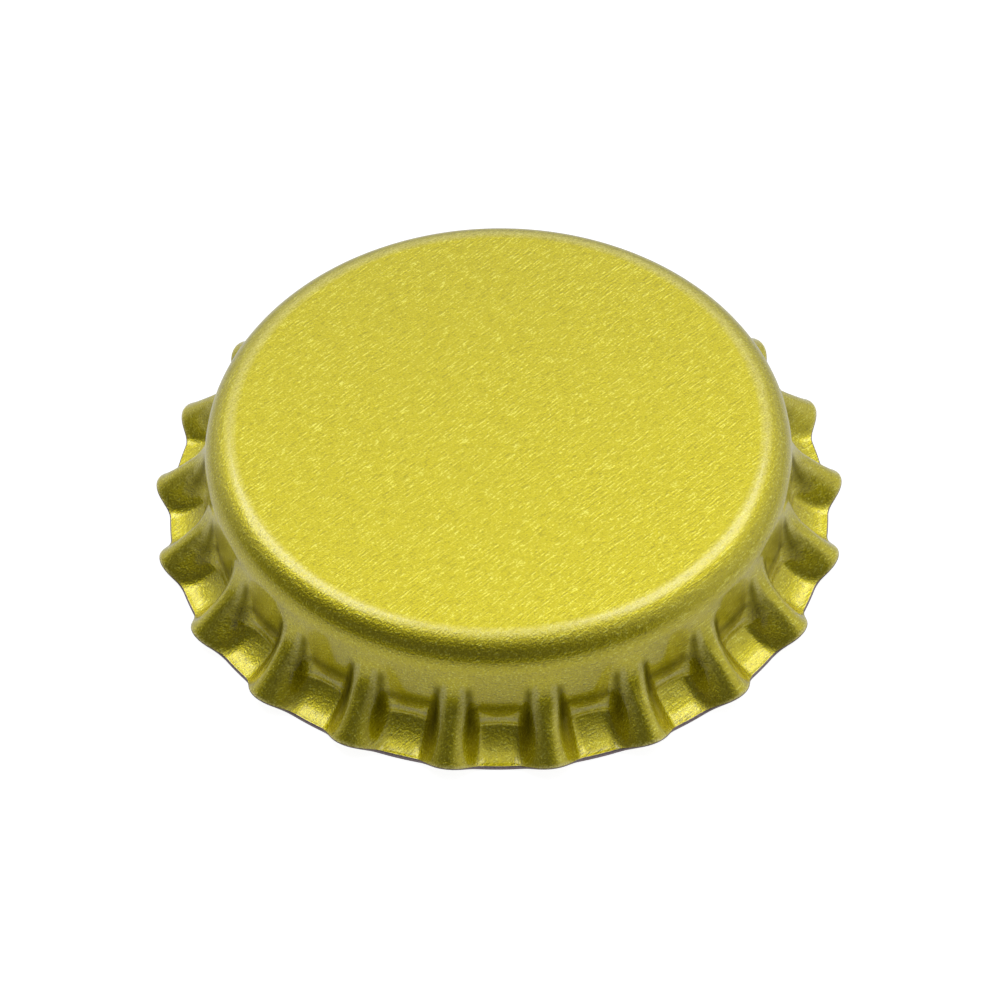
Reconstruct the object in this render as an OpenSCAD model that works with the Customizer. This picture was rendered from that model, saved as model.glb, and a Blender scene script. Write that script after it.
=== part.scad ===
// Pry-off bottle cap: a pressed sheet shell with a fluted skirt, and the
// moulded sealing liner inside it. Millimetres, +Z up. The origin is on the
// axis, at the lowest edge of the skirt. A valley between two flutes faces -Y.

/* [Shell] */
// Outside diameter over the flute tips
cap_d = 32.2; // [31:0.05:34]
// Overall height, skirt edge to top panel
cap_h = 6.0; // [5.6:0.05:6.8]
// Inside diameter of the plain collar
collar_d = 26.6; // [26:0.05:27.2]
// Thickness of the sheet
sheet = 0.235; // [0.18:0.005:0.3]
// Outside radius of the rounded corner between panel and collar
corner_r = 1.55; // [0.9:0.05:1.7]
// Height at which the plain collar ends and the flutes start
collar_z = 3.75; // [3.5:0.05:3.95]

/* [Flutes] */
// Number of flutes around the skirt
flute_count = 21; // [15:1:25]
// Width of a flute at half its height, just below the collar
flute_top_w = 1.7; // [1.3:0.05:2]
// Width of a flute at half its height, at the skirt's edge
flute_edge_w = 1.67; // [1.2:0.01:2]
// How square a flute's section is just below the collar
square_top = 7; // [4:0.5:10]
// How square a flute's section is at the skirt's edge
square_edge = 3; // [2:0.5:6]
// Height of a flute's tip above the lowest edge, on the outer face
tip_lift = 0.77; // [0.4:0.01:1]
// Slope of a crest where it leaves the collar, from the vertical
crest_lead = 16; // [6:1:20]
// Slope of a crest at its tip, from the vertical
crest_flare = 48; // [43:1:52]

/* [Valleys] */
// Outside diameter at the skirt's edge in a valley
valley_d = 30.75; // [30:0.05:31.2]
// Height at which a valley's upright wall turns into its scoop
valley_break_z = 1.55; // [1.2:0.05:1.8]
// Slope of a scoop at its edge, from the vertical
scoop_flare = 65; // [58:1:72]

/* [Liner] */
// Clear gap from the liner's edge to the foot of the panel's rounded corner
liner_gap = 0.15; // [0.05:0.05:1]
// Thickness of the liner's web
web_t = 0.25; // [0.15:0.05:0.4]
// Thickness of the liner's sealing ring
ring_t = 0.75; // [0.5:0.05:1]
// Width of the sealing ring
ring_w = 2.4; // [1.6:0.1:3]
// Radius of the sealing ring's rounded edges
ring_round = 0.3; // [0.1:0.05:0.45]

/* [Hidden] */
$fn = 96;
collar_r = collar_d / 2 + sheet;
panel_r = collar_r - corner_r;
panel_under = cap_h - sheet;
pitch = 360 / flute_count;
// The fluted skirt starts inside the collar's sheet, short of both its faces.
lap_h = 0.2;
lap_in = 0.01;
skirt_r = collar_r - lap_in;

// Crest, in the plane of the axis: an arc, then a straight run to the tip.
// Its radius and run are solved from the drop, the reach and both slopes.
crest_reach = cap_d / 2 - skirt_r;
crest_drop = collar_z - tip_lift;
crest_arc_x = cos(crest_lead) - cos(crest_flare);
crest_arc_z = sin(crest_flare) - sin(crest_lead);
crest_arc_r = (crest_drop * sin(crest_flare) - crest_reach * cos(crest_flare))
    / (crest_arc_z * sin(crest_flare) - crest_arc_x * cos(crest_flare));
crest_run = (crest_reach - crest_arc_r * crest_arc_x) / sin(crest_flare);
crest_arc_len = crest_arc_r * (crest_flare - crest_lead) * PI / 180;
crest_len = crest_arc_len + crest_run;

// Valley: an upright wall, an arc and a straight run to the edge.
edge_z = sheet * sin(scoop_flare);
valley_wall = collar_z - valley_break_z;
scoop_reach = valley_d / 2 - skirt_r;
scoop_drop = valley_break_z - edge_z;
scoop_arc_x = 1 - cos(scoop_flare);
scoop_arc_z = sin(scoop_flare);
scoop_arc_r = (scoop_drop * sin(scoop_flare) - scoop_reach * cos(scoop_flare))
    / (scoop_arc_z * sin(scoop_flare) - scoop_arc_x * cos(scoop_flare));
scoop_run = (scoop_reach - scoop_arc_r * scoop_arc_x) / sin(scoop_flare);
scoop_arc_len = scoop_arc_r * scoop_flare * PI / 180;
valley_len = valley_wall + scoop_arc_len + scoop_run;

// Places down the skirt, as shares of its length
break_s = valley_wall / valley_len;
scoop_s = (valley_wall + scoop_arc_len) / valley_len;
row_s = concat(
    [for (k = [0:4]) break_s * k / 5],
    [for (k = [0:3]) break_s + (scoop_s - break_s) * k / 3],
    [(1 + scoop_s) / 2, 1]);

// [radius, height] on the crest's outer face, a share s down its length
function crest_at(s) =
    let (
        run = s * crest_len,
        a = crest_lead + min(run, crest_arc_len) / crest_arc_r * 180 / PI,
        straight = max(0, run - crest_arc_len)
    )
    [skirt_r + crest_arc_r * (cos(crest_lead) - cos(a)) + straight * sin(a),
        collar_z - crest_arc_r * (sin(a) - sin(crest_lead)) - straight * cos(a)];

// [radius, height] on the valley's outer face, a share s down its length
function valley_at(s) =
    let (
        run = s * valley_len,
        turned = min(max(0, run - valley_wall), scoop_arc_len),
        a = turned / scoop_arc_r * 180 / PI,
        straight = max(0, run - valley_wall - scoop_arc_len)
    )
    [skirt_r + scoop_arc_r * (1 - cos(a)) + straight * sin(a),
        collar_z - min(run, valley_wall) - scoop_arc_r * sin(a) - straight * cos(a)];

function smooth(x) = x <= 0 ? 0 : x >= 1 ? 1 : x * x * (3 - 2 * x);

// A flute's section is a bell: 1 on its crest, 0 in the middle of a valley.
// It is nearly square below the collar and opens out towards the edge.
function bell(angle, half, square) = 1 / (1 + pow(angle / half, square));
function half_angle(width, r) = width / 2 / r * 180 / PI;
function raised_at(angle, s) =
    let (
        top = half_angle(flute_top_w, collar_r),
        half = top + (half_angle(flute_edge_w, cap_d / 2) - top) * s,
        square = square_top + (square_edge - square_top) * smooth(s),
        valley = bell(pitch / 2, half, square)
    )
    (bell(abs(angle), half, square) - valley) / (1 - valley);

// Columns across one flute, from one valley's middle to the next one's, as
// shares of half the pitch
half_columns = [0.16, 0.33, 0.49, 0.7];
columns = concat(
    [-1], [for (k = [len(half_columns) - 1:-1:0]) -half_columns[k]],
    [0], half_columns);
per_flute = len(columns);
column_count = per_flute * flute_count;

// A point on the outer face: column j around, a share s down the skirt
function outer_at(j, s) =
    let (
        flute = floor(j / per_flute),
        off = columns[j - flute * per_flute] * pitch / 2,
        a = -90 + pitch / 2 + flute * pitch + off,
        raised = raised_at(off, s),
        p = valley_at(s) * (1 - raised) + crest_at(s) * raised
    )
    [p[0] * cos(a), p[0] * sin(a), p[1]];

function at(grid, i, j) = grid[i][(j + column_count) % column_count];

// The inner face lies one sheet inside the outer face, along its normal. The
// first row stays level, where it enters the collar.
function normal_at(grid, i, j) =
    let (
        last = len(grid) - 1,
        down = at(grid, min(i + 1, last), j) - at(grid, max(i - 1, 0), j),
        round = at(grid, i, j + 1) - at(grid, i, j - 1),
        n = cross(down, round)
    )
    n / norm(n);

function level(p, r, z) = concat([p[0], p[1]] * r / norm([p[0], p[1]]), [z]);

// Ring after ring of points, joined into one closed skin that runs down the
// outer face, under the cut edge and up the inner face
module skin(rings) {
    rows = len(rings);
    polyhedron(
        points = [for (ring = rings) each ring],
        faces = [for (i = [0:rows - 1], j = [0:column_count - 1])
            let (
                here = i * column_count,
                next = (i + 1) % rows * column_count,
                k = (j + 1) % column_count
            )
            each [[here + j, here + k, next + k], [here + j, next + k, next + j]]],
        convexity = 12);
}

module fluted_skirt() {
    outer = [for (s = row_s) [for (j = [0:column_count - 1]) outer_at(j, s)]];
    inner_r = collar_r - sheet + lap_in;
    inner = [for (i = [0:len(outer) - 1]) [for (j = [0:column_count - 1])
        i == 0 ? level(outer[0][j], inner_r, collar_z)
        : outer[i][j] - sheet * normal_at(outer, i, j)]];
    outer_lap = [for (p = outer[0]) level(p, skirt_r, collar_z + lap_h)];
    inner_lap = [for (p = outer[0]) level(p, inner_r, collar_z + lap_h)];
    skin(concat([outer_lap], outer,
        [for (i = [len(inner) - 1:-1:0]) inner[i]], [inner_lap]));
}

// Half section of a round dish, mouth down, with a rounded corner at its top
module dish_section(r, top, corner) {
    square([r - corner, top]);
    square([r, top - corner]);
    translate([r - corner, top - corner]) circle(corner);
}

module panel_and_collar() {
    rotate_extrude()
        difference() {
            dish_section(collar_r, cap_h, corner_r);
            dish_section(collar_r - sheet, panel_under, corner_r - sheet);
            square([2 * collar_r, 2 * collar_z], center = true);
        }
}

module cap_shell() {
    color([0.82, 0.76, 0.27]) {
        panel_and_collar();
        fluted_skirt();
    }
}

// The liner is moulded onto the panel's inside: a thin web with a raised ring
// that seals on the rim of the bottle.
module liner() {
    ring_out = panel_r - liner_gap;
    ring_bottom = panel_under - ring_t;
    color([0.93, 0.93, 0.9])
        rotate_extrude() {
            translate([0, panel_under - web_t]) square([ring_out - ring_w / 2, web_t]);
            translate([ring_out - ring_w, ring_bottom + ring_round])
                square([ring_w, ring_t - ring_round]);
            translate([ring_out - ring_w + ring_round, ring_bottom])
                square([ring_w - 2 * ring_round, ring_t - ring_round]);
            for (x = [ring_out - ring_w + ring_round, ring_out - ring_round])
                translate([x, ring_bottom + ring_round]) circle(ring_round);
        }
}

cap_shell();
liner();
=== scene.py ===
"""Looks of the bottle cap: a pressed sheet shell in gold lacquer with a fluted
skirt, and the moulded liner inside it. Lengths are in millimetres, and MM
turns them into metres. Angles are in degrees."""

import math

import bpy
from mathutils import Matrix, Vector


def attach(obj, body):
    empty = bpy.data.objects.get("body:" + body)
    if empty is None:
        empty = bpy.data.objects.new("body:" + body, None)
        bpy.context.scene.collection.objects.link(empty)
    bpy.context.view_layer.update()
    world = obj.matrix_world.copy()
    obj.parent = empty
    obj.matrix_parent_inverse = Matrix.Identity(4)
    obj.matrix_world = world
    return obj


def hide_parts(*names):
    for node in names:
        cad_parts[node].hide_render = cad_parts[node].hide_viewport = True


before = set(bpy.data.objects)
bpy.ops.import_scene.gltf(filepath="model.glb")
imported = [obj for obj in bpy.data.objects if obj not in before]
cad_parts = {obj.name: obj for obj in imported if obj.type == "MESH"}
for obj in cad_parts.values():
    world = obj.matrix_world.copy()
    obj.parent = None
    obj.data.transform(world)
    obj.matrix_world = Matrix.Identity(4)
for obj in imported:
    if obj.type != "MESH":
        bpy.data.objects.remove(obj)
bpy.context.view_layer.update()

MM = 0.001

# Shell, as the construction has it
CAP_R = 16.1
CAP_H = 6.0
COLLAR_R = 13.535
SHEET = 0.235
CORNER_R = 1.55
PANEL_R = COLLAR_R - CORNER_R
FLUTES = 21
PITCH = 360 / FLUTES

# Flutes: half widths of the flat crest and of the whole flute, and how softly
# the flank turns at its shoulder and its foot, each below the collar and at
# the skirt's edge. They start to rise out of the collar at FLUTE_Z. A crest
# turns out in a tight arc up to its lead, then widely up to its flare, and its
# tip stands above the skirt's lowest edge.
FLUTE_Z = 4.35
CREST_HALF = 0.42, 0.45
FOOT_HALF = 0.94, 1.45
SHOULDER_SOFT = 0.24, 0.42
FOOT_SOFT = 0.12, 0.28
TIP_LIFT = 0.77
CREST_START_R = 3.0
CREST_LEAD = 16
CREST_FLARE = 48

# Valleys: an upright wall, a tight knee and a scoop that flattens towards the
# edge, slowly over its first length
VALLEY_R = 15.375
KNEE_R = 0.3
KNEE = 50
SCOOP_L = 1.1
SCOOP_MIDDLE = 64
SCOOP_FLARE = 87

# Lip: the wall leans out just above the knee, by a slope over a height that is
# least mid-valley and most at the flutes' feet. Between two heights above the
# skirt's lowest edge it draws back into the scoop.
LIP_SLOPE = 20
LIP_H = 0.22, 0.54
LIP_SOFT = 0.04
LIP_ENDS = 0.4, 1.3

# Cut edge: its rounding, on all edges that turn by more than the angle
EDGE_ROUND = 0.05
EDGE_ROWS = 2
EDGE_ANGLE = 70

# Liner: a web and a sealing ring, whose inner wall leans a little and whose
# outer wall has a small bevel against the panel
LINER_GAP = 0.15
LINER_R = PANEL_R - LINER_GAP
WEB_T = 0.25
RING_T = 0.75
RING_W = 2.4
RING_ROUND = 0.3
RING_LEAN = 0.02
RING_BEVEL = 0.05, 0.01

# Painted highlights, as paler lacquer, on the flutes' shoulders, the lip and
# the panel's rim, and rubbed lacquer along the flutes' tips. A pair says where
# a mark starts and where it is full or gone: as shares of the way down the
# skirt, or on the rim as degrees turned down. The painted highlight on the lip
# lies just above the knee, and comes in from a flute's foot.
SHOULDER_PAINTED_HIGHLIGHT_W = 0.075
SHOULDER_PAINTED_HIGHLIGHT_STARTS = 0.12, 0.22
SHOULDER_PAINTED_HIGHLIGHT_FADES = 0.45, 0.8
SHOULDER_PAINTED_HIGHLIGHT_LOSS = 0.7
LIP_PAINTED_HIGHLIGHT = 0.5
LIP_PAINTED_HIGHLIGHT_UP = 0.16
LIP_PAINTED_HIGHLIGHT_H = 0.07
LIP_PAINTED_HIGHLIGHT_IN = 0.5
TIP_RUB = 0.9
TIP_RUB_STARTS = 0.955, 0.98
RIM_PAINTED_HIGHLIGHT = 0.4
RIM_PAINTED_HIGHLIGHT_STARTS = 3, 9
RIM_PAINTED_HIGHLIGHT_FADES = 14, 26

# Painted shade, as darker lacquer: on the flanks, and a band across
# the valleys above the lip, which comes in from a flute's flat crest
FLANK_PAINTED_SHADE_W = 0.26
FLANK_PAINTED_SHADE_STARTS = 0.1, 0.25
FLANK_PAINTED_SHADE_FADES = 0.5, 0.85
BAND_PAINTED_SHADE = 0.75
BAND_PAINTED_SHADE_UP = 0.85
BAND_PAINTED_SHADE_H = 0.36
BAND_PAINTED_SHADE_IN = 2

# Mesh density: columns from a flute's middle to the valley's, which end at the
# flat crest, the shoulder, the flank, the foot and the valley's middle, and
# rows down the shell, closest together from above the knee to below it. The
# columns gather over the first share of the skirt, and one that rounding puts
# just past the end of a span still counts to it.
FLUTE_COLUMNS = 0, 2, 6, 8, 12, 15
COLUMNS = 2 * FLUTE_COLUMNS[-1] * FLUTES
COLUMN_SLACK = 1e-3
GATHER_SHARE = 0.1
CORNER_ROWS = 14
WALL_ROWS = 19
KNEE_ROWS = 18
SCOOP_ROWS = 18
KNEE_ABOVE = 0.35
KNEE_BELOW = 0.45
LINER_COLUMNS = 192
RING_ROWS = 6

# Vertices that lie closer than this become one
MERGE = 0.001

# Sharpest angles that are still shaded smooth
SHELL_SMOOTH = 60
LINER_SMOOTH = 35


def cos(a):
    return math.cos(math.radians(a))


def sin(a):
    return math.sin(math.radians(a))


def smooth(x, start=0, end=1):
    """0 up to the start, 1 from the end on, and smooth in between."""
    x = min(1, max(0, (x - start) / (end - start)))
    return x * x * (3 - 2 * x)


def bell(x, width):
    """1 at 0, fading to both sides."""
    return math.exp(-((x / width) ** 2))


# ---------------------------------------------------------------- the skirt


def arc_out(start, end):
    """How far an arc of radius 1 goes outwards between two slopes."""
    return cos(start) - cos(end)


def arc_down(start, end):
    """How far it goes downwards."""
    return sin(end) - sin(start)


class Profile:
    """The section of a wall that flares outwards: runs of [length, slope at
    the end], straight or round. Slopes are measured from the vertical."""

    def __init__(self, lead, runs):
        self.lead, self.runs = lead, runs
        self.length = sum(length for length, slope in runs)

    def at(self, share):
        """Distance outwards and downwards, a share of the way along."""
        left, slope, out, down = share * self.length, self.lead, 0, 0
        for length, end in self.runs:
            step = min(left, length)
            if end == slope:
                out += step * sin(slope)
                down += step * cos(slope)
            else:
                radius = length / math.radians(end - slope)
                now = slope + (end - slope) * step / length
                out += radius * arc_out(slope, now)
                down += radius * arc_down(slope, now)
            left, slope = left - step, end
        return out, down


def crest_profile():
    """A tight arc away from the collar, then a wide arc and a straight run,
    solved from the reach and the drop."""
    reach = CAP_R - COLLAR_R - CREST_START_R * arc_out(0, CREST_LEAD)
    drop = FLUTE_Z - TIP_LIFT - CREST_START_R * arc_down(0, CREST_LEAD)
    out, down = arc_out(CREST_LEAD, CREST_FLARE), arc_down(CREST_LEAD, CREST_FLARE)
    flare_out, flare_down = sin(CREST_FLARE), cos(CREST_FLARE)
    radius = (drop * flare_out - reach * flare_down) / (
        down * flare_out - out * flare_down
    )
    start = CREST_START_R * math.radians(CREST_LEAD)
    bend = radius * math.radians(CREST_FLARE - CREST_LEAD)
    run = (reach - radius * out) / flare_out
    return Profile(
        0, [(start, CREST_LEAD), (bend, CREST_FLARE), (run, CREST_FLARE)]
    )


def valley_profile():
    """A wall, a knee and a scoop, solved from the reach and the drop."""
    scoop_r = SCOOP_L / math.radians(SCOOP_MIDDLE - KNEE)
    reach = VALLEY_R - COLLAR_R - KNEE_R * arc_out(0, KNEE)
    reach -= scoop_r * arc_out(KNEE, SCOOP_MIDDLE)
    edge_r = reach / arc_out(SCOOP_MIDDLE, SCOOP_FLARE)
    wall = FLUTE_Z - SHEET * sin(SCOOP_FLARE) - KNEE_R * arc_down(0, KNEE)
    wall -= scoop_r * arc_down(KNEE, SCOOP_MIDDLE)
    wall -= edge_r * arc_down(SCOOP_MIDDLE, SCOOP_FLARE)
    knee = KNEE_R * math.radians(KNEE)
    edge = edge_r * math.radians(SCOOP_FLARE - SCOOP_MIDDLE)
    return Profile(
        0, [(wall, 0), (knee, KNEE), (SCOOP_L, SCOOP_MIDDLE), (edge, SCOOP_FLARE)]
    )


CREST = crest_profile()
VALLEY = valley_profile()
WALL = VALLEY.runs[0][0]
KNEE_Z = FLUTE_Z - WALL


def degrees(width, r):
    """The angle that a width takes up at a radius."""
    return math.degrees(width / r)


def eased(x, soft):
    """0 below 0 and x above it, with the corner rounded."""
    if abs(x) < soft:
        return (x + soft) ** 2 / (4 * soft)
    return max(0, x)


def lip(z, off):
    """How far the lip stands out from a valley's wall. off is 0 mid-valley
    and 1 at the flutes' feet."""
    height = LIP_H[0] + (LIP_H[1] - LIP_H[0]) * min(1, off) ** 2
    depth = eased(KNEE_Z + height - z, LIP_SOFT) - eased(KNEE_Z - z, LIP_SOFT)
    return depth * math.tan(math.radians(LIP_SLOPE)) * smooth(z, *LIP_ENDS)


class Flute:
    """A flute's section a share of the way down the skirt, as angles from its
    middle: where its flat crest ends and where its foot stands."""

    def __init__(self, share):
        self.crest, self.foot, self.shoulder_soft, self.foot_soft = [
            degrees(top, COLLAR_R) * (1 - smooth(share))
            + degrees(edge, CAP_R) * smooth(share)
            for top, edge in (CREST_HALF, FOOT_HALF, SHOULDER_SOFT, FOOT_SOFT)
        ]

    def raised(self, off):
        """1 on the crest, 0 in the valley and straight in between."""
        flank = eased(off - self.crest, self.shoulder_soft) - eased(
            off - self.foot, self.foot_soft
        )
        return 1 - flank / (self.foot - self.crest)

    def column(self, k):
        """The angle of the k-th column of vertices from the middle."""
        places = (
            0,
            self.crest - self.shoulder_soft,
            self.crest + self.shoulder_soft,
            self.foot - self.foot_soft,
            self.foot + self.foot_soft,
            PITCH / 2,
        )
        spans = zip(FLUTE_COLUMNS, FLUTE_COLUMNS[1:], places, places[1:])
        for start, end, near, far in spans:
            if k <= end + COLUMN_SLACK:
                break
        return near + (far - near) * (k - start) / (end - start)


def skirt_point(off, share):
    """The outer face's radius and height, an angle off a flute's middle and a
    share of the way down the skirt."""
    flute = Flute(share)
    raised = flute.raised(off)
    out, down = VALLEY.at(share)
    out += lip(FLUTE_Z - down, (PITCH / 2 - off) / (PITCH / 2 - flute.foot))
    crest_out, crest_down = CREST.at(share)
    out += (crest_out - out) * raised
    down += (crest_down - down) * raised
    return COLLAR_R + out, FLUTE_Z - down


def above_knee(share):
    return FLUTE_Z - VALLEY.at(share)[1] - KNEE_Z


def painted_highlight_and_wear(off, share):
    """How strong the painted highlight is on the flutes' shoulders and on the
    lip, and how far the lacquer is rubbed along the flutes' tips."""
    flute = Flute(share)
    # Painted highlight along each shoulder
    shoulder = bell(off - flute.crest, degrees(SHOULDER_PAINTED_HIGHLIGHT_W, CAP_R))
    shoulder *= smooth(share, *SHOULDER_PAINTED_HIGHLIGHT_STARTS)
    shoulder *= 1 - SHOULDER_PAINTED_HIGHLIGHT_LOSS * smooth(share, *SHOULDER_PAINTED_HIGHLIGHT_FADES)
    # Painted highlight on the lip, just above the knee
    on_lip = bell(above_knee(share) - LIP_PAINTED_HIGHLIGHT_UP, LIP_PAINTED_HIGHLIGHT_H)
    on_lip *= smooth(off, flute.foot, flute.foot + LIP_PAINTED_HIGHLIGHT_IN)
    # Rubbed lacquer along the tips
    tip = smooth(share, *TIP_RUB_STARTS) * flute.raised(off)
    return max(shoulder, LIP_PAINTED_HIGHLIGHT * on_lip, TIP_RUB * tip)


def rim_painted_highlight(height):
    """The painted highlight on the panel's rounded corner, near its top."""
    turned_down = math.degrees(math.acos(min(1, 1 - (CAP_H - height) / CORNER_R)))
    start = smooth(turned_down, *RIM_PAINTED_HIGHLIGHT_STARTS)
    return RIM_PAINTED_HIGHLIGHT * start * (1 - smooth(turned_down, *RIM_PAINTED_HIGHLIGHT_FADES))


def painted_shade_at(off, share):
    """How much shade is painted: on the flanks and across the valleys."""
    flute = Flute(share)
    middle = (flute.crest + flute.foot) / 2
    # Painted shade along the middle of each flank
    flank = bell(off - middle, degrees(FLANK_PAINTED_SHADE_W, CAP_R))
    flank *= smooth(share, *FLANK_PAINTED_SHADE_STARTS)
    flank *= 1 - smooth(share, *FLANK_PAINTED_SHADE_FADES)
    # Painted shade in a band across the valleys above the lip
    band = bell(above_knee(share) - BAND_PAINTED_SHADE_UP, BAND_PAINTED_SHADE_H)
    band *= smooth(off, flute.crest, flute.crest + BAND_PAINTED_SHADE_IN)
    return max(flank, BAND_PAINTED_SHADE * band)


def skirt_rows():
    """Shares down the skirt, closest together round the knee."""
    top = (WALL - KNEE_ABOVE) / VALLEY.length
    low = (WALL + KNEE_BELOW) / VALLEY.length
    rows = []
    for start, end, count in (
        (0, top, WALL_ROWS),
        (top, low, KNEE_ROWS),
        (low, 1, SCOOP_ROWS),
    ):
        rows += [start + (end - start) * k / count for k in range(1, count + 1)]
    return rows


# ------------------------------------------------------------ mesh by hand


def select_only(ob):
    bpy.ops.object.select_all(action="DESELECT")
    ob.select_set(True)
    bpy.context.view_layer.objects.active = ob


def start_edit(ob):
    select_only(ob)
    bpy.ops.object.mode_set(mode="EDIT")
    bpy.ops.mesh.select_all(action="SELECT")


def end_edit():
    bpy.ops.object.mode_set(mode="OBJECT")


def one_vertex(name, place):
    """A mesh of a single vertex, ready for its section to be drawn from it."""
    bpy.ops.object.select_all(action="DESELECT")
    bpy.ops.mesh.primitive_plane_add(size=MM, location=(0, 0, 0))
    ob = bpy.context.object
    ob.name = ob.data.name = name
    start_edit(ob)
    bpy.ops.mesh.merge(type="CENTER")
    bpy.ops.transform.translate(value=place)
    return ob


def turned(name, section, columns):
    """Draws the section, a list of [radius, height], by extruding a vertex
    along it, and spins it round the axis into a closed skin."""
    (r, z), rest = section[0], section[1:]
    ob = one_vertex(name, (r * MM, 0, z * MM))
    for next_r, next_z in rest:
        bpy.ops.mesh.extrude_region_move(
            TRANSFORM_OT_translate={"value": ((next_r - r) * MM, 0, (next_z - z) * MM)}
        )
        r, z = next_r, next_z
    bpy.ops.mesh.select_all(action="SELECT")
    bpy.ops.mesh.spin(
        steps=columns, angle=2 * math.pi, center=(0, 0, 0), axis=(0, 0, 1)
    )
    bpy.ops.mesh.select_all(action="SELECT")
    bpy.ops.mesh.remove_doubles(threshold=MERGE * MM)
    bpy.ops.mesh.normals_make_consistent(inside=False)
    end_edit()
    top = max(ob.data.polygons, key=lambda p: p.center.z)
    if top.normal.z < 0:
        start_edit(ob)
        bpy.ops.mesh.flip_normals()
        end_edit()
    return ob


def apply_modifier(ob, modifier):
    select_only(ob)
    bpy.ops.object.modifier_apply(modifier=modifier.name)


def shade_smooth(ob, angle):
    select_only(ob)
    bpy.ops.object.shade_smooth_by_angle(angle=math.radians(angle))


def shell_section():
    """The shell's outer face, from the panel's middle down a valley."""
    section = [(0, CAP_H)]
    for k in range(CORNER_ROWS + 1):
        a = 90 * k / CORNER_ROWS
        section.append(
            (PANEL_R + CORNER_R * sin(a), CAP_H - CORNER_R * (1 - cos(a)))
        )
    section.append((COLLAR_R, FLUTE_Z))
    for share in skirt_rows():
        out, down = VALLEY.at(share)
        section.append((COLLAR_R + out, FLUTE_Z - down))
    return section


def row_of(height):
    """A height to the micrometre, which tells the rows of vertices apart."""
    return round(height, 3)


def press_flutes(ob):
    """Moves the plain skirt's vertices onto flutes and valleys, with their
    columns gathered along the flutes' shoulders and feet, and marks the
    painted highlights, the rubbed tips and the painted shade."""
    shares = {row_of(FLUTE_Z - VALLEY.at(share)[1]): share for share in skirt_rows()}
    # Marks: painted highlights with the rubbed tips, and painted shade
    highlight_and_wear = ob.data.attributes.new("highlight_and_wear", "FLOAT", "POINT")
    painted_shade = ob.data.attributes.new("painted_shade", "FLOAT", "POINT")
    for v in ob.data.vertices:
        height = v.co.z / MM
        # Painted highlight on the panel's rim
        if height > CAP_H - CORNER_R:
            highlight_and_wear.data[v.index].value = rim_painted_highlight(height)
        share = shares.get(row_of(height))
        if share is None:
            continue
        angle = math.degrees(math.atan2(v.co.y, v.co.x))
        side = (angle + 90) % PITCH - PITCH / 2
        plain = abs(side)
        gathered = Flute(share).column(plain / (PITCH / 2) * FLUTE_COLUMNS[-1])
        off = plain + (gathered - plain) * smooth(share, 0, GATHER_SHARE)
        angle += (off - plain) * math.copysign(1, side)
        r, z = skirt_point(off, share)
        v.co = Vector((r * cos(angle), r * sin(angle), z)) * MM
        highlight_and_wear.data[v.index].value = painted_highlight_and_wear(off, share)
        painted_shade.data[v.index].value = painted_shade_at(off, share)


def make_shell():
    ob = turned("cap_shell_sheet", shell_section(), COLUMNS)
    press_flutes(ob)
    finishes = [GOLD, INSIDE, CUT]
    for finish in finishes:
        ob.data.materials.append(finish)
    wall = ob.modifiers.new("sheet", "SOLIDIFY")
    wall.thickness = SHEET * MM
    wall.offset = -1
    wall.use_rim = True
    wall.material_offset = finishes.index(INSIDE)
    wall.material_offset_rim = finishes.index(CUT)
    apply_modifier(ob, wall)
    burr = ob.modifiers.new("burr", "BEVEL")
    burr.limit_method = "ANGLE"
    burr.angle_limit = math.radians(EDGE_ANGLE)
    burr.width = EDGE_ROUND * MM
    burr.segments = EDGE_ROWS
    burr.material = finishes.index(CUT)
    apply_modifier(ob, burr)
    shade_smooth(ob, SHELL_SMOOTH)
    return ob


def liner_section():
    """The liner's lower face, from its middle round the ring to the panel."""
    under = CAP_H - SHEET
    low = under - RING_T
    inner, outer = LINER_R - RING_W, LINER_R
    bevel_r, bevel_z = RING_BEVEL
    turns = [90 * k / RING_ROWS for k in range(RING_ROWS + 1)]
    section = [(0, under - WEB_T), (inner - RING_LEAN, under - WEB_T)]
    section.append((inner, low + RING_ROUND + RING_LEAN))
    for a in turns[1:]:
        section.append(
            (inner + RING_ROUND * (1 - cos(a)), low + RING_ROUND * (1 - sin(a)))
        )
    for a in turns:
        section.append(
            (outer - RING_ROUND * (1 - sin(a)), low + RING_ROUND * (1 - cos(a)))
        )
    section += [(outer, under - bevel_z), (outer - bevel_r, under), (0, under)]
    return section


def make_liner():
    ob = turned("liner_seal", liner_section(), LINER_COLUMNS)
    ob.data.materials.append(PLASTIC)
    shade_smooth(ob, LINER_SMOOTH)
    return ob


# ---------------------------------------------------------------- finishes


class Socket:
    """A value among the nodes, which takes part in arithmetic."""

    def __init__(self, nodes, out):
        self.nodes, self.out = nodes, out

    def math(self, operation, *args):
        return self.nodes.node(
            "ShaderNodeMath", {"operation": operation}, 0, dict(enumerate(args))
        )

    def __add__(self, other):
        return self.math("ADD", self, other)

    def __sub__(self, other):
        return self.math("SUBTRACT", self, other)

    def __rsub__(self, other):
        return self.math("SUBTRACT", other, self)

    def __mul__(self, other):
        return self.math("MULTIPLY", self, other)

    __radd__ = __add__
    __rmul__ = __mul__


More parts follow.
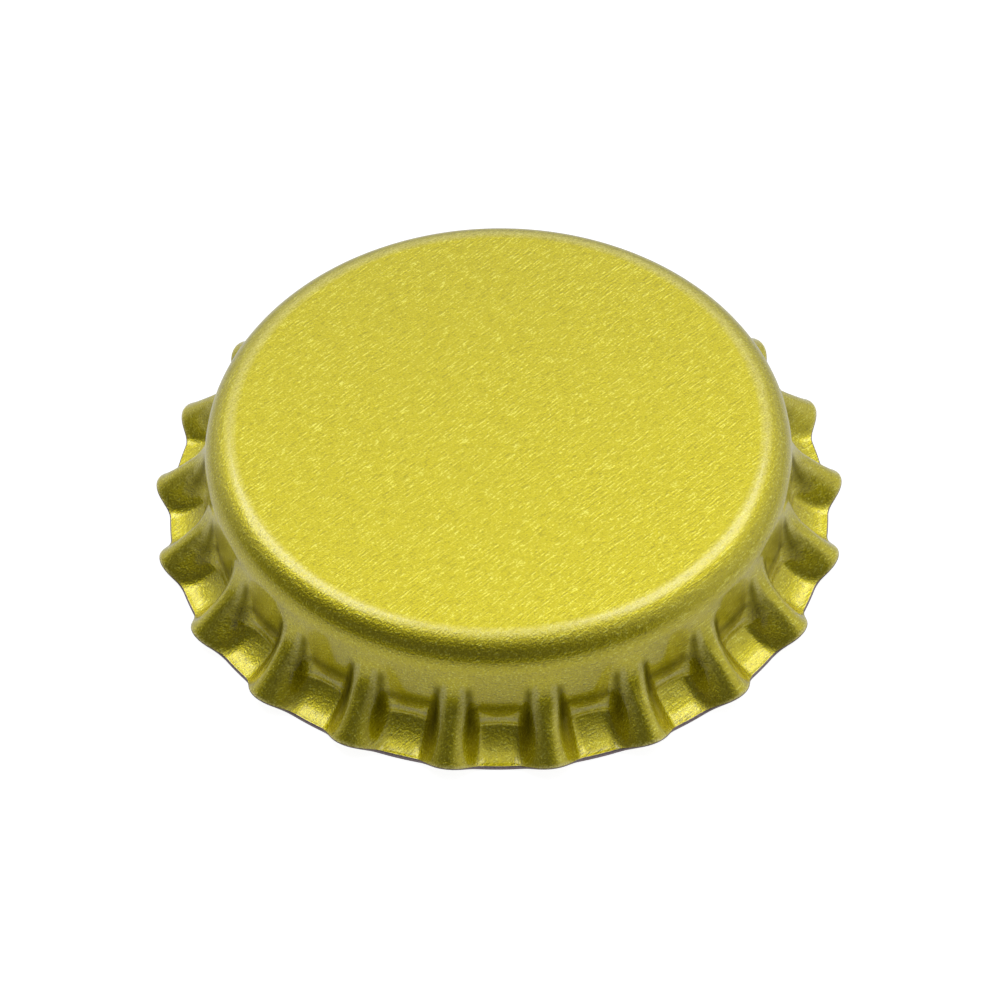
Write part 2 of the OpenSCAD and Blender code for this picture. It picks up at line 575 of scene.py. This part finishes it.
class Nodes:
    """The nodes of a finish or of the room."""

    def __init__(self, tree):
        self.tree = tree

    def give(self, n, sockets):
        """Gives a node's sockets, by number or by name, their values or links."""
        for key, value in sockets.items():
            socket = n.inputs[key.replace("_", " ") if isinstance(key, str) else key]
            if isinstance(value, Socket):
                self.tree.links.new(value.out, socket)
            else:
                socket.default_value = value

    def node(self, kind, settings=None, output=0, numbered=None, **named):
        """Adds a node, sets it up, then gives it its sockets."""
        n = self.tree.nodes.new(kind)
        for key, value in (settings or {}).items():
            setattr(n, key, value)
        self.give(n, {**(numbered or {}), **named})
        return Socket(self, n.outputs[output])

    def place(self):
        """Where a point lies on the object."""
        return self.node("ShaderNodeTexCoord", output="Object")

    def mark(self, name):
        """A mark that the mesh carries."""
        return self.node("ShaderNodeAttribute", {"attribute_name": name}, "Fac")

    def noise(self, place, grain, detail=2.0):
        return self.node(
            "ShaderNodeTexNoise", Vector=place, Scale=1 / grain, Detail=detail
        )

    def bump(self, height, strength, depth):
        return self.node(
            "ShaderNodeBump", Height=height, Strength=strength, Distance=depth * MM
        )

    def mix(self, factor, low, high):
        """A colour between two others, which are the node's sockets 6 and 7."""
        colours = {
            key: colour if isinstance(colour, Socket) else (*colour, 1)
            for key, colour in ((6, low), (7, high))
        }
        return self.node(
            "ShaderNodeMix", {"data_type": "RGBA"}, 2, colours, Factor=factor
        )

    def above(self, value, low, high):
        """0 up to one level, 1 from the other on, and smooth in between."""
        return self.node(
            "ShaderNodeMapRange",
            {"interpolation_type": "SMOOTHSTEP"},
            Value=value,
            From_Min=low,
            From_Max=high,
        )


class Finish(Nodes):
    """A material and its nodes."""

    def __init__(self, name):
        self.material = bpy.data.materials.new(name)
        self.material.use_nodes = True
        super().__init__(self.material.node_tree)
        self.shader = self.tree.nodes["Principled BSDF"]

    def set(self, **sockets):
        self.give(self.shader, sockets)


# Grain: the way it runs, and for each finish the length and the width of its
# streaks and the size of its flecks
GRAIN_TURN = 45
GOLD_GRAIN = 0.7, 0.08, 0.085
INSIDE_GRAIN = 0.6, 0.07, 0.12
CUT_GRAIN = 0.12, 0.12, 0.04
GOLD_PATCH = 1.6

# Gold lacquer: its tones, how far above or below its middle the grain starts
# to show as a painted glint or a pit and shows in full, and how much a pit, the
# painted shade and the smoothest part of the painted highlights and rubbed
# tips take of their tones
GOLD_DIM = 0.66, 0.575, 0.004
GOLD_BRIGHT = 0.78, 0.685, 0.008
GOLD_PAINTED_GLINT = 1.0, 0.95, 0.13
GOLD_PIT = 0.46, 0.39, 0.001
# The painted shade's tone, then the painted highlights' tone, which the rubbed tips
# share
GOLD_PAINTED_SHADE = 0.155, 0.13, 0.001
GOLD_HIGHLIGHT_AND_WEAR = 1.0, 0.92, 0.32
# Levels for the painted glints, then for the pits
PAINTED_GLINT_LEVELS = 0.055, 0.235
PITS = 0.045, 0.215
PIT_COVER = 0.6
PAINTED_SHADE_COVER = 0.85
HIGHLIGHT_AND_WEAR_COVER = 0.45
HIGHLIGHT_AND_WEAR_FLECKS = 0.38, 0.6

# The other finishes: their tones, each from dim to bright, and the size of the
# plastic's haze and of its rings
INSIDE_TONES = (0.58, 0.53, 0.34), (0.84, 0.79, 0.56)
CUT_TONES = (0.2, 0.16, 0.17), (0.44, 0.36, 0.37)
PLASTIC_TONES = (0.8, 0.8, 0.75), (0.92, 0.92, 0.89)
PLASTIC_HAZE = 1.5
PLASTIC_RINGS = 1.2


def streaks_and_flecks(f, turn, length, width, fleck):
    """Rolling grain: fine streaks along one direction, and flecks. Both lie
    around 0.5."""
    along = f.node(
        "ShaderNodeMapping",
        {"vector_type": "TEXTURE"},
        Vector=f.place(),
        Rotation=(0, 0, math.radians(turn)),
        Scale=(length * MM, width * MM, width * MM),
    )
    return f.noise(along, 1.0), f.noise(f.place(), fleck * MM)


def gold_lacquer():
    """Satin lacquer over the rolled sheet: painted glints along the grain, dark
    pits, painted shade on the flanks and valleys, and a paler film that paints
    highlights on the shoulders, lip and rim and is rubbed lacquer on the tips."""
    f = Finish("gold_lacquer")
    patches = f.noise(f.place(), GOLD_PATCH * MM)
    streaks, flecks = streaks_and_flecks(f, GRAIN_TURN, *GOLD_GRAIN)
    rough = (streaks - 0.5) * 0.9 + (flecks - 0.5) * 0.7 + (patches - 0.5) * 0.05
    # Painted glints along the grain's bright streaks
    painted_glints = f.above(rough, *PAINTED_GLINT_LEVELS)
    pits = f.above(0 - rough, *PITS)
    # Painted shade and painted highlights, read from the mesh's marks
    painted_shade = f.mark("painted_shade")
    highlight_and_wear_level = f.mark("highlight_and_wear") * (HIGHLIGHT_AND_WEAR_COVER + f.above(flecks, *HIGHLIGHT_AND_WEAR_FLECKS))
    tone = f.mix(flecks, GOLD_DIM, GOLD_BRIGHT)
    tone = f.mix(painted_glints, tone, GOLD_PAINTED_GLINT)
    tone = f.mix(pits * PIT_COVER, tone, GOLD_PIT)
    # Painted shade darkens the lacquer, and the painted highlights and rubbed tips
    # pale it
    tone = f.mix(painted_shade * PAINTED_SHADE_COVER, tone, GOLD_PAINTED_SHADE)
    tone = f.mix(highlight_and_wear_level, tone, GOLD_HIGHLIGHT_AND_WEAR)
    f.set(
        Base_Color=tone,
        Metallic=1.0 - highlight_and_wear_level * 0.65,
        Roughness=0.33 + flecks * 0.06 + highlight_and_wear_level * 0.2,
        Normal=f.bump(rough, strength=1.0, depth=0.03),
        # Less coat where shade is painted, which darkens it further
        Coat_Weight=1.0 - painted_shade * 0.8,
        Coat_IOR=1.62,
        Coat_Roughness=0.1,
    )
    return f.material


def inside_lacquer():
    """A thin pale lacquer on the inner face, with the grain showing through."""
    f = Finish("inside_lacquer")
    streaks, flecks = streaks_and_flecks(f, GRAIN_TURN, *INSIDE_GRAIN)
    rough = (streaks - 0.5) + (flecks - 0.5)
    f.set(
        Base_Color=f.mix(rough * 2.0 + 0.5, *INSIDE_TONES),
        Metallic=1.0,
        Roughness=0.36 + rough * 0.15,
        Normal=f.bump(rough, strength=0.4, depth=0.01),
    )
    return f.material


def cut_edge():
    """Bare sheet, torn a little by the shears."""
    f = Finish("cut_edge")
    tears, nicks = streaks_and_flecks(f, 0, *CUT_GRAIN)
    torn = (tears - 0.5) + (nicks - 0.5)
    f.set(
        Base_Color=f.mix(torn * 2.0 + 0.5, *CUT_TONES),
        Metallic=1.0,
        Roughness=0.45 + torn * 0.2,
        Normal=f.bump(torn, strength=0.5, depth=0.01),
    )
    return f.material


def liner_plastic():
    """Waxy moulded plastic with the faint rings of its turned mould."""
    f = Finish("liner_plastic")
    haze = f.noise(f.place(), PLASTIC_HAZE * MM, detail=3.0)
    rings = f.node(
        "ShaderNodeTexWave",
        {"wave_type": "RINGS", "rings_direction": "Z"},
        Vector=f.place(),
        Scale=1 / (PLASTIC_RINGS * MM),
        Distortion=0.2,
    )
    f.set(
        Base_Color=f.mix(haze, *PLASTIC_TONES),
        Roughness=0.32 + haze * 0.16,
        Normal=f.bump(rings + haze * 0.5, strength=0.3, depth=0.01),
        Subsurface_Weight=0.15,
        Subsurface_Scale=0.4 * MM,
    )
    return f.material


GOLD = gold_lacquer()
INSIDE = inside_lacquer()
CUT = cut_edge()
PLASTIC = liner_plastic()

shell = make_shell()
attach(shell, "root")
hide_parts("cap_shell")

liner = make_liner()
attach(liner, "root")
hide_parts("liner")


# ------------------------------------------------------------------- stage

# Camera: how far it stands from the cap, its height above the horizon, and
# the small turns and shifts that place the cap in the frame
CAMERA_AWAY = 229.24
CAMERA_UP = 48.91
CAMERA_ROUND = 0.465
CAMERA_ROLL = -0.655
AIM_UP = 0.529
AIM_RIGHT = 0.048
LENS_MM = 176.4
SENSOR_MM = 36
CLIP_NEAR = 10

# Floor: its tone, what it adds to itself where it is seen, how bright it is in
# the metal close to the cap and far from it, and how far out that fades
FLOOR_SIZE = 4000
FLOOR_TONE = 0.36
FLOOR_LIFT = 0.92
FLOOR_NEAR = 0.35
FLOOR_FAR = 0.13
FLOOR_FADES = 14, 55

# Room: how bright it is in front of the cap and behind it, the way from one to
# the other, and how far along that way it starts to rise and is full
ROOM_FRONT = 0.08
ROOM_BACK = 0.6
ROOM_WAY = 0.4, 1, 0.27
ROOM_RISES = -0.42, 0.36

# Lamps: how far away they stand, and for each the way to it from the cap, the
# size of its face and its brightness
LAMP_AWAY = 600
LAMPS = {
    "left": ((-0.41, 0.33, 0.832), (340, 400), 0.52),
    "left core": ((-0.4, 0.35, 0.861), (250, 300), 1.35),
    "right": ((0.41, 0.32, 0.839), (340, 400), 0.52),
    "right core": ((0.375, 0.345, 0.871), (250, 300), 1.35),
    "back": ((0, 0.64, 0.768), (300, 280), 0.06),
}


def make_camera():
    data = bpy.data.cameras.new("camera")
    data.lens = LENS_MM
    data.sensor_width = SENSOR_MM
    data.clip_start = CLIP_NEAR * MM
    ob = bpy.data.objects.new("camera", data)
    bpy.context.collection.objects.link(ob)
    place = Vector((0, -cos(CAMERA_UP), sin(CAMERA_UP))) * CAMERA_AWAY
    aim = Vector((AIM_RIGHT, AIM_UP * sin(CAMERA_UP), AIM_UP * cos(CAMERA_UP)))
    turn = (place - aim).to_track_quat("Z", "Y").to_matrix().to_4x4()
    ob.matrix_world = (
        Matrix.Rotation(math.radians(CAMERA_ROUND), 4, "Z")
        @ Matrix.Translation(place * MM)
        @ turn
        @ Matrix.Rotation(math.radians(CAMERA_ROLL), 4, "Z")
    )
    bpy.context.scene.camera = ob


def make_floor():
    bpy.ops.object.select_all(action="DESELECT")
    bpy.ops.mesh.primitive_plane_add(size=FLOOR_SIZE * MM, location=(0, 0, 0))
    floor = bpy.context.object
    floor.name = "floor"
    f = Finish("floor_white")
    seen = f.node("ShaderNodeLightPath", output="Is Camera Ray")
    mirrored = f.node("ShaderNodeLightPath", output="Is Glossy Ray")
    mirrored += f.node("ShaderNodeLightPath", output="Is Transmission Ray")
    away = f.node(
        "ShaderNodeVectorMath", {"operation": "LENGTH"}, "Value", Vector=f.place()
    )
    start, end = FLOOR_FADES
    faded = f.above(away, start * MM, end * MM)
    shine = FLOOR_NEAR - faded * (FLOOR_NEAR - FLOOR_FAR)
    f.set(
        Base_Color=(FLOOR_TONE, FLOOR_TONE, FLOOR_TONE, 1),
        Roughness=0.9,
        Emission_Color=(1, 1, 1, 1),
        Emission_Strength=seen * FLOOR_LIFT + mirrored * shine,
    )
    floor.data.materials.append(f.material)


def make_room():
    """A pale room that is dim in front of the cap."""
    world = bpy.data.worlds.new("studio")
    bpy.context.scene.world = world
    world.use_nodes = True
    room = Nodes(world.node_tree)
    along = room.node(
        "ShaderNodeVectorMath",
        {"operation": "DOT_PRODUCT"},
        "Value",
        {0: room.node("ShaderNodeTexCoord", output="Generated"), 1: ROOM_WAY},
    )
    strength = ROOM_FRONT + room.above(along, *ROOM_RISES) * (ROOM_BACK - ROOM_FRONT)
    background = room.tree.nodes["Background"]
    room.give(background, {"Color": (1, 1, 1, 1), "Strength": strength})


def make_lamp(name, way, size, brightness):
    """A lamp with a rectangular face that looks at the cap from the given way."""
    data = bpy.data.lights.new(name, "AREA")
    data.shape = "RECTANGLE"
    data.size, data.size_y = size[0] * MM, size[1] * MM
    data.energy = brightness * data.size * data.size_y * math.pi
    ob = bpy.data.objects.new(name, data)
    bpy.context.collection.objects.link(ob)
    way = Vector(way).normalized()
    ob.location = way * LAMP_AWAY * MM
    ob.rotation_euler = way.to_track_quat("Z", "Y").to_euler()


make_camera()
make_floor()
make_room()
for name, (way, size, brightness) in LAMPS.items():
    make_lamp(name, way, size, brightness)
bpy.context.scene.view_settings.view_transform = "Standard"
